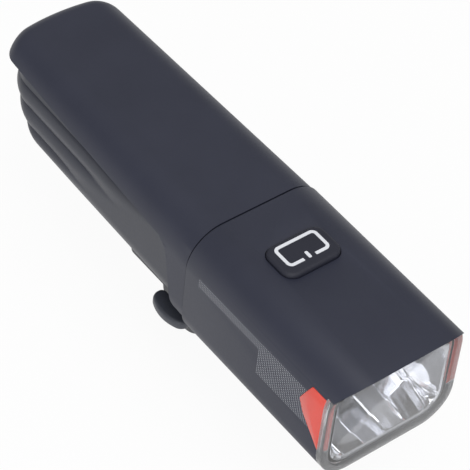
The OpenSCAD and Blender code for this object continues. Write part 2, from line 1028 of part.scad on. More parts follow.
// Outline of the release tab seen from above
module tab_outline(inset) {
    r = tab_w / 2 - inset;
    for (y = [tab_w / 2, tab_l - tab_w / 2])
        translate([-tab_x - tab_w / 2, y_tab + y])
            circle(r);
    translate([-tab_x - tab_w / 2 - r, y_tab + tab_w / 2])
        square([2 * r, tab_l - tab_w]);
}

// Ribbed finger tab on a stem, with a peg that locks the rail
module release_slide() {
    band = tab_h / 5;
    color(black) {
        translate([0, 0, fork_drop + tab_lift]) {
            linear_extrude(tab_h)
                tab_outline(tab_groove);
            for (i = [0, 2, 4])
                translate([0, 0, i * band])
                    linear_extrude(band)
                        tab_outline(0);
        }
        block([-tab_x - tab_w / 2, y_slide - slide_w / 2, z_slide],
            [slide_end, y_slide + slide_w / 2, z_slide + slide_t]);
        block([-peg_in - peg_w / 2, y_slide - peg_w / 2, z_slide],
            [-peg_in + peg_w / 2, y_slide + peg_w / 2, z_rail + peg_h]);
    }
}

// Point of the spring's wire: turn t around the coil, angle c around the wire
function spring_point(t, c) =
    let (
        out = spring_r + spring_wire * cos(c),
        along = spring_wire * (1 + sin(c)) + t / spring_turns * (spring_l - 2 * spring_wire)
    )
    [along, out * cos(t * 360), out * sin(t * 360)];

// Coil spring that pushes the release slide out
module slide_spring() {
    per_turn = 10;
    rings = spring_turns * per_turn;
    last = rings * wire_sides;
    points = [for (i = [0 : rings], c = [0 : wire_sides - 1])
        spring_point(i / per_turn, c * 360 / wire_sides)];
    sides = [for (i = [0 : rings - 1], c = [0 : wire_sides - 1])
        let (a = i * wire_sides + c, b = i * wire_sides + (c + 1) % wire_sides)
        each [[a, b, b + wire_sides], [a, b + wire_sides, a + wire_sides]]];
    near_end = [for (c = [1 : wire_sides - 2]) [0, c + 1, c]];
    far_end = [for (c = [1 : wire_sides - 2]) [last, last + c, last + c + 1]];
    color(steel)
        translate([spring_x, y_slide, z_slide + slide_t / 2])
            polyhedron(points, concat(sides, near_end, far_end));
}

head_housing();
front_lens();
lens_gasket();
reflector();
side_window_left();
side_window_right();
heat_spreader();
led_board();
led_emitters();
led_leads();
button_cap();
tact_switch();
switch_plunger();
control_board();
board_parts();
board_screws();
head_screws();
seam_gasket();
rear_cover();
lower_shell();
shell_screws();
battery_cell();
battery_cradle();
battery_tabs();
battery_leads();
charge_leads();
port_board();
charge_port();
port_tongue();
port_cover();
mount_rail();
rail_screws();
mount_shoe();
release_slide();
slide_spring();
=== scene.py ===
import json
from math import cos, pi, radians, sqrt

import bmesh
import bpy
from mathutils import Matrix, Vector


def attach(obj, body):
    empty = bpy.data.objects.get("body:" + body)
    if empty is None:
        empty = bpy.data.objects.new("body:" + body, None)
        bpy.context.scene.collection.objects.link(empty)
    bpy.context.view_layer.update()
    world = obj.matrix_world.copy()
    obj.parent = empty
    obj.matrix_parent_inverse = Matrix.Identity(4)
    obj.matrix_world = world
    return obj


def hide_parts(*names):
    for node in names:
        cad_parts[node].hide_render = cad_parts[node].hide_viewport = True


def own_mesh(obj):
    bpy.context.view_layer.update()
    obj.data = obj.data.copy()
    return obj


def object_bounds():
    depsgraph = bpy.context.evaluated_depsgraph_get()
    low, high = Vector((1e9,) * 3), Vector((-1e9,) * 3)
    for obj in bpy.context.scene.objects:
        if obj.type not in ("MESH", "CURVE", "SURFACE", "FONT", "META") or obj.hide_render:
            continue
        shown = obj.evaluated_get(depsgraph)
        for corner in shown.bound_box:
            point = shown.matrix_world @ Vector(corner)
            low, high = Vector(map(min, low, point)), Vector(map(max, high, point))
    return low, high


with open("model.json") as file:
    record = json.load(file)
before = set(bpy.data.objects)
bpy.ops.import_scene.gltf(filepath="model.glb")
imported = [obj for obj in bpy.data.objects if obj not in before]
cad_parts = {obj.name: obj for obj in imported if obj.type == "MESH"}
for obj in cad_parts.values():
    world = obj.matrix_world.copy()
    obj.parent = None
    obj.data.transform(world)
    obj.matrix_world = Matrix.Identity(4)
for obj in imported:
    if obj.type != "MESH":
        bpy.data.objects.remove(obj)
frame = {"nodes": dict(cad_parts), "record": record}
cad_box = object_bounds()
nodes = frame["nodes"]
scene = bpy.context.scene
MM = 0.001


# Materials: lengths in mm
TONE_DRIFT = 12
ROUGH_SPREAD = 0.05
# Opening of the lens ring: half sizes of its core, its middle, and how far out from the core it turns milky
MOUTH_X = 9.3
MOUTH_UP = 6.6
MOUTH_Z = 25.7
MILKY_FROM = 6.4
MILKY_TO = 6.7
# Dot field on the head's flanks: pitch, size of a dot, and limits, with a step in its lower edge
DOT_PITCH = 0.53
DOT_SHARE = 0.24
DOT_FLANK = 16.5
DOT_TOP = 33.3
DOT_BACK = -19.2
DOT_STEP = (-39.4, -39.6)
DOT_LOW = (30.8, 23.8)


def linear(code):
    """Turns an sRGB hex colour into the linear colour that the shaders take."""
    parts = [int(code[i:i + 2], 16) / 255 for i in (1, 3, 5)]
    return [c / 12.92 if c <= 0.04045 else ((c + 0.055) / 1.055) ** 2.4 for c in parts] + [1]


def add(tree, kind, inputs=None, **settings):
    """Adds a node with its settings, and sets or links its inputs."""
    node = tree.nodes.new("ShaderNode" + kind)
    for name, value in settings.items():
        setattr(node, name, value)
    for key, value in (inputs or {}).items():
        if isinstance(value, bpy.types.NodeSocket):
            tree.links.new(value, node.inputs[key])
        else:
            node.inputs[key].default_value = value
    return node


def surface(name, **inputs):
    """New material: its tree, its shader with the given inputs, and its Object coordinates."""
    finish = bpy.data.materials.new(name)
    finish.use_nodes = True
    tree = finish.node_tree
    shader = tree.nodes["Principled BSDF"]
    for key, value in inputs.items():
        shader.inputs[key.replace("_", " ")].default_value = value
    place = add(tree, "TexCoord").outputs["Object"]
    return finish, tree, shader, place


def grained(name, dark, light, grit, depth, rough, **inputs):
    """Moulded surface: two close tones that drift over 12 mm, and a grain of the given grit in mm."""
    finish, tree, shader, place = surface(name, **inputs)
    drift = add(tree, "TexNoise", {"Vector": place, "Scale": 1 / (TONE_DRIFT * MM), "Detail": 3})
    tone = add(tree, "ValToRGB", {"Fac": drift.outputs["Fac"]})
    tone.color_ramp.elements[0].position = 0.3
    tone.color_ramp.elements[0].color = linear(dark)
    tone.color_ramp.elements[1].position = 0.7
    tone.color_ramp.elements[1].color = linear(light)
    grain = add(tree, "TexNoise", {"Vector": place, "Scale": 1 / (grit * MM), "Detail": 2})
    relief = add(tree, "Bump", {"Height": grain.outputs["Fac"], "Strength": 1, "Distance": depth * MM})
    gloss = add(tree, "MapRange", {"Value": grain.outputs["Fac"], "To Min": rough - ROUGH_SPREAD,
                                   "To Max": rough + ROUGH_SPREAD})
    tree.links.new(tone.outputs["Color"], shader.inputs["Base Color"])
    tree.links.new(relief.outputs["Normal"], shader.inputs["Normal"])
    tree.links.new(gloss.outputs["Result"], shader.inputs["Roughness"])
    return finish


def clear_polycarbonate():
    # Injection-moulded clear polycarbonate: a hard gloss with faint flow marks, and a milky rim outside the
    # spigot, where the moulding is left unpolished
    finish, tree, shader, place = surface(
        "clear_polycarbonate", Base_Color=linear("#f0f1f4"), IOR=1.585)
    flow = add(tree, "TexNoise", {"Vector": place, "Scale": 1 / (9 * MM), "Detail": 1})
    relief = add(tree, "Bump", {"Height": flow.outputs["Fac"], "Strength": 0.2, "Distance": 0.05 * MM})
    tree.links.new(relief.outputs["Normal"], shader.inputs["Normal"])
    spot = place
    core = (MOUTH_X * MM, 1, MOUTH_UP * MM)
    for operation, value in (("SUBTRACT", (0, 0, MOUTH_Z * MM)), ("ABSOLUTE", (0, 0, 0)), ("SUBTRACT", core),
                             ("MAXIMUM", (0, 0, 0))):
        spot = add(tree, "VectorMath", {0: spot, 1: value}, operation=operation).outputs["Vector"]
    out = add(tree, "VectorMath", {0: spot}, operation="LENGTH").outputs["Value"]
    for key, polished, milky in (("Transmission Weight", 1, 0.85), ("Roughness", 0.03, 0.25)):
        share = add(tree, "MapRange", {"Value": out, "From Min": MILKY_FROM * MM, "From Max": MILKY_TO * MM,
                                       "To Min": polished, "To Max": milky})
        tree.links.new(share.outputs["Result"], shader.inputs[key])
    path = add(tree, "LightPath")
    thin = add(tree, "BsdfTransparent", {"Color": linear("#eef2f4")})
    mixed = add(tree, "MixShader", {"Fac": path.outputs["Is Shadow Ray"], 1: shader.outputs["BSDF"],
                                    2: thin.outputs["BSDF"]})
    tree.links.new(mixed.outputs["Shader"], tree.nodes["Material Output"].inputs["Surface"])
    return finish


def mirror_film():
    # Vacuum-metallised plastic: a bright mirror, a little wavy where the moulding shrank
    finish, tree, shader, place = surface(
        "vacuum_metallised_mirror", Base_Color=linear("#e6e7ea"), Metallic=1, Roughness=0.06)
    sink = add(tree, "TexNoise", {"Vector": place, "Scale": 1 / (5 * MM), "Detail": 1})
    relief = add(tree, "Bump", {"Height": sink.outputs["Fac"], "Strength": 0.2, "Distance": 0.05 * MM})
    tree.links.new(relief.outputs["Normal"], shader.inputs["Normal"])
    return finish


def with_dot_field(finish):
    """Copy of the casing's finish with a field of pale dots, 0.53 mm apart, on the head's two flanks."""
    finish = finish.copy()
    finish.name = "dot_printed_soft_touch_abs"
    tree = finish.node_tree
    shader = tree.nodes["Principled BSDF"]
    tone = shader.inputs["Base Color"].links[0].from_socket
    spot = add(tree, "SeparateXYZ", {"Vector": add(tree, "TexCoord").outputs["Object"]})
    x, y, z = spot.outputs
    flank = add(tree, "Math", {0: x}, operation="ABSOLUTE").outputs["Value"]
    low = add(tree, "MapRange", {"Value": y, "From Min": DOT_STEP[0] * MM, "From Max": DOT_STEP[1] * MM,
                                 "To Min": DOT_LOW[0] * MM, "To Max": DOT_LOW[1] * MM}).outputs["Result"]
    inside = add(tree, "Math", {0: flank, 1: DOT_FLANK * MM}, operation="GREATER_THAN").outputs["Value"]
    for first, second in ((z, low), (DOT_TOP * MM, z), (DOT_BACK * MM, y)):
        side = add(tree, "Math", {0: first, 1: second}, operation="GREATER_THAN").outputs["Value"]
        inside = add(tree, "Math", {0: inside, 1: side}, operation="MULTIPLY").outputs["Value"]
    plan = add(tree, "CombineXYZ", {"X": y, "Y": z})
    dots = add(tree, "TexVoronoi", {"Vector": plan.outputs["Vector"], "Scale": 1 / (DOT_PITCH * MM),
                                    "Randomness": 0}, voronoi_dimensions="2D")
    away = dots.outputs["Distance"]
    dot = add(tree, "Math", {0: away, 1: DOT_SHARE}, operation="LESS_THAN").outputs["Value"]
    share = add(tree, "Math", {0: inside, 1: dot}, operation="MULTIPLY").outputs["Value"]
    print_tone = add(tree, "MixRGB", {"Fac": share, "Color1": tone, "Color2": linear("#aeb1b8")})
    tree.links.new(print_tone.outputs["Color"], shader.inputs["Base Color"])
    return finish


# Soft-touch lacquer over moulded ABS: even, dull and bluish, with a fine grain and a broad soft sheen
soft_touch = grained("soft_touch_lacquered_abs", "#272a3a", "#2b2e3e", 0.4, 0.012, 0.5)
# The same lacquer with a pad-printed field of dots
dotted_head = with_dot_field(soft_touch)
# Bare moulded ABS: a little smoother, so the ribs carry soft highlights
satin_shell = grained("satin_moulded_abs", "#272a37", "#2b2e3b", 0.5, 0.015, 0.42)
# Moulded nylon of the mount: black, with a satin sheen
black_nylon = grained("moulded_black_nylon", "#24272f", "#292c34", 0.5, 0.02, 0.45)
# Nylon of the tab: greyer than the mount's, and made lighter with painted light that offsets the shade the
# body casts on it
tab_nylon_painted_light = grained("grey_nylon_with_painted_light", "#3d4049", "#43464f", 0.5, 0.02, 0.42)
# Moulded rubber: black, dull and finely grained
black_rubber = grained("moulded_black_rubber", "#1d1f25", "#212329", 0.35, 0.015, 0.6)
# Soft seal between the two casings: black rubber, darkened further with painted shade of the seam's groove,
# so the seam reads as a dark line
seal_rubber_painted_shade = grained("seal_rubber_with_painted_shade", "#0c0d11", "#101115", 0.35, 0.01, 0.7)
# Moulded silicone of the button: darker than the casing and dull
button_rubber = grained("moulded_button_silicone", "#1b1d2b", "#1f212f", 0.35, 0.012, 0.6)
# Translucent red polycarbonate: glossy, with light spread a little under its surface
red_window = grained("translucent_red_polycarbonate", "#e24a3c", "#e85042", 2, 0.01, 0.18,
                     Subsurface_Weight=0.3, Subsurface_Scale=2 * MM)
# Pad-printed white ink: flat and slightly dull
white_ink = grained("white_pad_print", "#e4e6ec", "#eceef4", 0.3, 0.01, 0.5)
# Zinc-plated steel: a pale metal with a soft shine
plated_steel = grained("zinc_plated_steel", "#b4b8be", "#c0c4c8", 0.4, 0.01, 0.32, Metallic=1)
# Extruded aluminium: paler than the plating and a little duller
aluminium = grained("extruded_aluminium", "#c4c7cb", "#cdd0d3", 0.6, 0.015, 0.38, Metallic=1)
# Solder mask over a circuit board: glossy green
solder_mask = grained("green_solder_mask", "#14502f", "#196038", 1.2, 0.02, 0.3)
# White solder mask over an aluminium board: bright, with a soft gloss
white_mask = grained("white_solder_mask", "#dedfd9", "#e8e8e3", 1.2, 0.02, 0.4)
# Phosphor in silicone: warm yellow and glossy
phosphor = grained("silicone_phosphor", "#e3c04c", "#ecd070", 0.5, 0.01, 0.25)
# Acetal of the switch's plunger: ivory and smooth
ivory_acetal = grained("moulded_ivory_acetal", "#cdc7b4", "#d6d1c0", 0.6, 0.01, 0.4)
# Shrink wrap round the cell: glossy blue, with faint slack in the film
cell_wrap = grained("blue_shrink_wrap", "#1e4f8f", "#265b9d", 3, 0.04, 0.3)
# Silicone insulation of the leads: soft, with a low sheen
red_silicone = grained("red_silicone_insulation", "#a02c2c", "#ac3434", 0.8, 0.02, 0.5)
black_silicone = grained("black_silicone_insulation", "#1c1d20", "#222327", 0.8, 0.02, 0.5)
clear_lens = clear_polycarbonate()
mirror = mirror_film()

FINISHES = {
    "charcoal_casing": soft_touch, "dark_casing": satin_shell, "black_plastic": black_nylon,
    "ivory_plastic": ivory_acetal, "black_rubber": black_rubber, "clear_lens": clear_lens,
    "red_window": red_window, "mirror_coating": mirror, "bare_aluminium": aluminium,
    "white_board": white_mask, "yellow_phosphor": phosphor, "green_board": solder_mask,
    "screw_steel": plated_steel, "cell_wrap": cell_wrap, "red_insulation": red_silicone,
    "black_insulation": black_silicone,
}
SLOTS = {part["node"]: part["material_slot"] for part in frame["record"]["subparts"]}
BODIES = {name: body for body, names in frame["record"]["behaviour"]["bodies"].items() for name in names}

for name, node in nodes.items():
    node.data.materials.clear()
    # The seam's gasket takes the rubber that is darkened with painted shade
    node.data.materials.append(seal_rubber_painted_shade if name == "seam_gasket" else FINISHES[SLOTS[name]])


# Pieces

def settle(shape, name, node, finish, smooth=35):
    """Makes a bmesh into a piece that stands for a node, with edges sharper than the angle kept crisp."""
    mesh = bpy.data.meshes.new(name)
    shape.to_mesh(mesh)
    shape.free()
    mesh.shade_smooth()
    mesh.set_sharp_from_angle(angle=radians(smooth))
    mesh.materials.append(finish)
    piece = bpy.data.objects.new(name, mesh)
    scene.collection.objects.link(piece)
    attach(piece, BODIES[node])
    return piece


def solid_of(node):
    """Merged copy of a node's solid."""
    shape = bmesh.new()
    shape.from_mesh(nodes[node].data)
    bmesh.ops.remove_doubles(shape, verts=shape.verts, dist=0.001 * MM)
    bmesh.ops.dissolve_limit(shape, angle_limit=radians(0.5), verts=shape.verts, edges=shape.edges)
    return shape


def rounded_edges(shape, edges, radius, steps, clamp=True):
    """Rounds edges, by less where there is no room if clamp is set."""
    bmesh.ops.bevel(shape, geom=edges, offset=radius, segments=steps, profile=0.5, affect="EDGES",
                    material=-1, clamp_overlap=clamp)


def sharper(shape, angle):
    """Edges of a shape that turn by more than the angle."""
    return [e for e in shape.edges if len(e.link_faces) == 2 and e.calc_face_angle() > radians(angle)]


def verts_in(geom):
    """The vertices among what an operator gave back."""
    return [g for g in geom if isinstance(g, bmesh.types.BMVert)]


def all_of(shape):
    """Every vertex, edge and face of a shape."""
    return shape.verts[:] + shape.edges[:] + shape.faces[:]


def limited(value, low, high):
    """The value, held between two limits."""
    return max(min(value, high), low)


def softened(node, name, finish, radius, steps=2, corner=0):
    """Copy of a node's solid in its place, with sharp edges, and corners along X, rounded."""
    shape = solid_of(node)
    if corner:
        across = [e for e in sharper(shape, 12) if abs((e.verts[0].co - e.verts[1].co).normalized().x) > 0.99]
        rounded_edges(shape, across, corner * MM, 5)
    rounded_edges(shape, sharper(shape, 30), radius * MM, steps)
    piece = settle(shape, name, node, finish)
    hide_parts(node)
    return piece


def cells(low, high, cuts):
    """Closed box between two corners in mm, cut into that many cells along X, Y and Z."""
    shape = bmesh.new()
    bmesh.ops.create_cube(shape, size=1)
    for axis in range(3):
        along = [e for e in shape.edges if abs((e.verts[0].co - e.verts[1].co)[axis]) > 0.5]
        bmesh.ops.subdivide_edges(shape, edges=along, cuts=cuts[axis] - 1)
    bmesh.ops.translate(shape, verts=shape.verts, vec=(0.5, 0.5, 0.5))
    size = Vector(high) - Vector(low)
    bmesh.ops.scale(shape, verts=shape.verts, vec=size)
    bmesh.ops.translate(shape, verts=shape.verts, vec=low)
    return shape


def carved(shape, *cutters):
    """Closed shape in mm with the closed cutters cut out of it."""
    for cutter in cutters:
        held = [bpy.data.objects.new(name, bpy.data.meshes.new(name)) for name in ("body", "cutter")]
        for bm, holder in zip((shape, cutter), held):
            bm.to_mesh(holder.data)
            bm.free()
            scene.collection.objects.link(holder)
        step = held[0].modifiers.new("step", "BOOLEAN")
        step.object = held[1]
        step.operation = "DIFFERENCE"
        step.solver = "EXACT"
        shape = bmesh.new()
        shape.from_object(held[0], bpy.context.evaluated_depsgraph_get())
        for holder in held:
            bpy.data.meshes.remove(holder.data)
    return shape


def to_metres(shape):
    """Scales a shape from mm to metres."""
    bmesh.ops.scale(shape, verts=shape.verts, vec=(MM, MM, MM))
    return shape


def rounded(a, b, low, high, radius):
    """Moves a point of a flat rectangle as its corners are rounded: the edge follows, the middle stays."""
    core = Vector((limited(a, low[0] + radius, high[0] - radius),
                   limited(b, low[1] + radius, high[1] - radius)))
    out = Vector((a, b)) - core
    if out.length:
        out = out.normalized() * max(abs(out.x), abs(out.y))
    return core + out


def sagitta(radius, along):
    """How far an arc of the given radius has turned in, that far along from where it starts."""
    return radius - sqrt(max(radius ** 2 - max(along, 0) ** 2, 0))


def joined(*shapes):
    """One bmesh that holds all the given ones."""
    whole = bmesh.new()
    for shape in shapes:
        mesh = bpy.data.meshes.new("joined")
        shape.to_mesh(mesh)
        shape.free()
        whole.from_mesh(mesh)
        bpy.data.meshes.remove(mesh)
    return whole


# Rear casing: sizes in mm, close to the solids'
SEAM = -15
TAIL = 59.3
TOP = 40.5
EDGE_R = 8.5
REAR_HALF = 17.2
TAIL_NARROW = 1.8
TAIL_BOW = 47
HOOD_TAIL_R = 4.4
HOOD_WALL = 0.8
HOOD_LOW = 11.2
HOOD_FLOOR = 14.2
HOOD_CELLS = (40, 44, 36)
HOOD_EDGE_R = 0.3
SEAM_GAP = 0.4
# The hood's edge from the side, as y and z: its bend, the foot of the collar and the far end behind the tail
EDGE_BEND = Vector((-6.84, 32.74))
EDGE_FOOT = Vector((-12.65, 5))
EDGE_END = Vector((70, 36.36))
EDGE_BEND_R = 3.25
EDGE_SIDE = 30
PAST = 2


def drawn_to_tail(point):
    """Narrows the rear casing toward its tail and bows the tail."""
    back = (point.y - SEAM) / (TAIL - SEAM)
    point.x *= 1 - TAIL_NARROW / REAR_HALF * back
    point.y -= point.x ** 2 / (2 * TAIL_BOW) * max(back, 0) ** 4


def hood_solid(inset, low, front):
    """Rear casing's outside with every edge round, drawn in by the given amount."""
    half = REAR_HALF - inset
    tail = TAIL - inset
    high = TOP - inset
    turn = HOOD_TAIL_R - inset
    shape = cells((-half, front, low), (half, tail, high), HOOD_CELLS)
    for vert in shape.verts:
        x, y, z = vert.co
        y = tail - (tail - front) * max((tail - y) / (tail - front), 0) ** 2
        draw = sagitta(turn, y - tail + turn)
        x *= 1 - draw / half
        z = low + (z - low) * (high - draw - low) / (high - low)
        x, z = rounded(x, z, (draw - half, low), (half - draw, high - draw), EDGE_R - inset - draw)
        vert.co = (x, y, z)
        drawn_to_tail(vert.co)
    return shape


def hood_edge():
    """What lies below the hood's edge: a long straight edge that turns down into the collar."""
    outline = [EDGE_BEND, EDGE_FOOT, Vector((EDGE_END.x, EDGE_FOOT.y)), EDGE_END]
    shape = bmesh.new()
    rim = shape.faces.new([shape.verts.new((-EDGE_SIDE, y, z)) for y, z in outline])
    side = bmesh.ops.extrude_face_region(shape, geom=[rim])
    bmesh.ops.translate(shape, verts=verts_in(side["geom"]), vec=(2 * EDGE_SIDE, 0, 0))
    bmesh.ops.recalc_face_normals(shape, faces=shape.faces)
    bend = [e for e in shape.edges if all((v.co.yz - EDGE_BEND).length < 0.01 for v in e.verts)]
    rounded_edges(shape, bend, EDGE_BEND_R, 10, clamp=False)
    return shape


hood = carved(hood_solid(0, HOOD_LOW, SEAM + SEAM_GAP), hood_solid(HOOD_WALL, HOOD_FLOOR, SEAM - PAST),
              hood_edge())
rounded_edges(hood, sharper(hood, 40), HOOD_EDGE_R, 3)
rear_hood = settle(to_metres(hood), "rear_hood", "rear_cover", soft_touch)
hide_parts("rear_cover")


# Lower shell: three cushion ribs that wrap the tail and fade out toward the collar
SHELL_STEP = 0.85
SHELL_BASE = 14.1
SHELL_TOP = 36.4
SHELL_LOW_R = 7.2
SHELL_TAIL_R = 18.5
RIB_PITCH = 5.2
RIB_CREST = 29.2
RIB_DEPTH = 0.9
RIB_START = 4
RIB_RAKE = 2.2
RIB_FADE = 18
RIB_ROUND = 0.7
RIB_FOOT = 1.5
PLAN_R = 8.5
SHELL_WALL = 2
# Rows of cells crowd toward the base by this power, where the shell turns most
ROW_CROWD = 1.3


def shell_solid(inset, ribs):
    """Lower shell's outside, drawn in by the given amount, with its ribs or plain."""
    half = REAR_HALF - SHELL_STEP - inset
    tail = TAIL - SHELL_STEP - inset
    base = SHELL_BASE + inset
    high = SHELL_TOP + 2 * inset
    front = SEAM + 2 - 2 * inset
    shape = cells((-half, front, base), (half, tail, high), (24, 60, 80 if ribs else 24))
    for vert in shape.verts:
        x, y, z = vert.co
        z = base + (high - base) * max((z - base) / (high - base), 0) ** ROW_CROWD
        inner = Vector((limited(x, PLAN_R - half, half - PLAN_R), min(y, tail - PLAN_R)))
        x, y = rounded(x, y, (-half, front - PLAN_R), (half, tail), PLAN_R)
        out = (Vector((x, y)) - inner) / PLAN_R
        low = SHELL_LOW_R - (z - base)
        low_tail = SHELL_TAIL_R - inset - (z - base)
        x *= 1 - (sagitta(SHELL_LOW_R, low) + sagitta(EDGE_R - SHELL_STEP - inset, z - TOP + EDGE_R)) / half
        y = front + (y - front) * (1 - sagitta(SHELL_TAIL_R - inset, low_tail) / (tail - front))
        if ribs:
            fade = limited((y - RIB_START - RIB_RAKE * (RIB_CREST - z)) / RIB_FADE, 0, 1)
            fade = fade * fade * (3 - 2 * fade)
            wave = abs(cos(pi * (z - RIB_CREST) / RIB_PITCH)) if z < RIB_CREST + RIB_PITCH / 2 else 0
            dip = RIB_DEPTH * fade * (1 - wave ** RIB_ROUND) * min((z - base) / RIB_FOOT, 1)
            x -= dip * out.x
            y -= dip * out.y
        vert.co = (x, y, z)
        drawn_to_tail(vert.co)
    return shape


# Just under half the height, so that the two rounded edges of an end don't meet
ROUND_END = 0.499


def slot(width, height, middle, front, back):
    """Bar with round ends that runs along Y."""
    shape = cells((-width / 2, front, middle - height / 2), (width / 2, back, middle + height / 2), (1, 1, 1))
    long_edges = [e for e in shape.edges if abs((e.verts[0].co - e.verts[1].co).y) > 0.1]
    rounded_edges(shape, long_edges, height * ROUND_END, 8, clamp=False)
    return shape


def upright(radius, low, high, x, y):
    """Closed cylinder along Z."""
    shape = bmesh.new()
    bmesh.ops.create_cone(shape, cap_ends=True, segments=32, radius1=radius, radius2=radius, depth=high - low,
                          matrix=Matrix.Translation((x, y, (low + high) / 2)))
    return shape


PORT_Z = 29
FLAP_HALF = 6.3
FLAP_TALL = 3.5
FLAP_ROOM = 0.3
POCKET_Y = 57.05
BEHIND_TAIL = 65
PORT_W = 10.6
PORT_H = 4.8
PORT_FRONT = 50
WELL_R = 2
WELL_OVER = 0.5
SHELL_SCREWS = [(s * x, y, z) for s in (-1, 1) for x, y, z in ((11.15, -4.5, 15.8), (9.55, 49.3, 18.1))]
HEAD_SCREWS = [(s * 7, -17, 10.9) for s in (-1, 1)]
pocket_half = FLAP_HALF + FLAP_ROOM
pocket_tall = FLAP_TALL + FLAP_ROOM
pocket = cells((-pocket_half, POCKET_Y, PORT_Z - pocket_tall),
               (pocket_half, BEHIND_TAIL, PORT_Z + pocket_tall), (1, 1, 1))
shell = carved(shell_solid(0, True), shell_solid(SHELL_WALL, False), pocket,
               slot(PORT_W, PORT_H, PORT_Z, PORT_FRONT, BEHIND_TAIL),
               *[upright(WELL_R, 0, z + WELL_OVER, x, y) for x, y, z in SHELL_SCREWS])
ribbed_shell = settle(to_metres(shell), "ribbed_shell", "lower_shell", satin_shell)
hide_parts("lower_shell")


# Countersunk cross-recessed screws that point up
HEAD_SCREW_L = 4.4
SHELL_SCREW_L = 11.6
SCREW_FACE_R = 1.75
SCREW_HEAD_R = 1.9
SCREW_RIM = 0.12
SCREW_SHANK_R = 1.1
SCREW_TIP_R = 0.4
SCREW_TIP = 0.7
RECESS_HALF = 1.15
RECESS_SIDE = 0.24
RECESS_DEEP = 0.7


def screw(length):
    """Screw with the face of its head at the origin."""
    shape = bmesh.new()
    outline = [(0, 0), (SCREW_FACE_R, 0), (SCREW_HEAD_R, SCREW_RIM), (SCREW_SHANK_R, SCREW_SHANK_R),
               (SCREW_SHANK_R, length - SCREW_TIP), (SCREW_TIP_R, length), (0, length)]
    points = [shape.verts.new((r, 0, z)) for r, z in outline]
    edges = [shape.edges.new(pair) for pair in zip(points, points[1:])]
    bmesh.ops.spin(shape, geom=points + edges, cent=(0, 0, 0), axis=(0, 0, 1), dvec=(0, 0, 0), angle=2 * pi,
                   steps=32, use_merge=True)
    bmesh.ops.remove_doubles(shape, verts=shape.verts, dist=0.001)
    bmesh.ops.recalc_face_normals(shape, faces=shape.faces)
    arms = [cells((-x, -y, -1), (x, y, RECESS_DEEP), (1, 1, 1))
            for x, y in ((RECESS_HALF, RECESS_SIDE), (RECESS_SIDE, RECESS_HALF))]
    return carved(shape, *arms)


def screws(name, node, places, length):
    """Piece with a screw at each place."""
    shapes = [screw(length) for place in places]
    for shape, place in zip(shapes, places):
        bmesh.ops.translate(shape, verts=shape.verts, vec=place)
    piece = settle(to_metres(joined(*shapes)), name, node, plated_steel)
    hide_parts(node)


screws("cross_head_screws", "head_screws", HEAD_SCREWS, HEAD_SCREW_L)
screws("cross_shell_screws", "shell_screws", SHELL_SCREWS, SHELL_SCREW_L)


# Reflector: a mirror bowl of flat facets in upright panels, each at its own pitch, with a flared lip round
# its mouth
BOWL_FRONT = -59.5
BOWL_HALF = 14
BOWL_LOW = 14.4
BOWL_HIGH = 33.2
BOWL_CORNER = 4.7
BOWL_WALL = 0.4
BOWL_EYE = Vector((0, -57, 24))
LIP_FLARE = 0.35
LIP_TOP = 37.6
RIDGE_PROUD = 0.16
PANEL_EDGES = (-14, -10.4, -5.2, 0.5, 5.5, 11.4, 14)
PANEL_RISE = (0, 0.7, -0.6, 0.55, -0.1, 0)
PANEL_PUSH = (0, -0.5, 0.5, -0.5, 0.3, 0)
FACET_ROWS = ((0, 14.4), (7.4, 16.6), (12.6, 21.3), (15.2, 26.6), (13.9, 31.2), (8.1, 33), (0, 33.2))
FACET_STEPS = (0, 0.07, 0.3, 0.5, 0.7, 0.93, 1)
PUSHED_ROWS = range(1, 5)
BOWL_SQUARE = 6
# Opening over the emitters
LED_LOW = (-7.4, -53.4, 29)
LED_HIGH = (7.4, -49.4, 37)


def facet_corner(panel, edge, row):
    """Where a panel's edge, left 0 or right 1, crosses a row of facets."""
    x = PANEL_EDGES[panel + edge]
    deep, z = FACET_ROWS[row]
    deep *= sqrt(1 - abs(x / BOWL_HALF) ** BOWL_SQUARE)
    if row in PUSHED_ROWS and deep:
        deep += PANEL_PUSH[panel]
        z += PANEL_RISE[panel]
    return Vector((x, BOWL_FRONT + deep, z))


def on_panel(panel, row, across, up):
    """Point of a facet, at shares of its width and height."""
    left = facet_corner(panel, 0, row).lerp(facet_corner(panel, 0, row + 1), up)
    return left.lerp(facet_corner(panel, 1, row).lerp(facet_corner(panel, 1, row + 1), up), across)


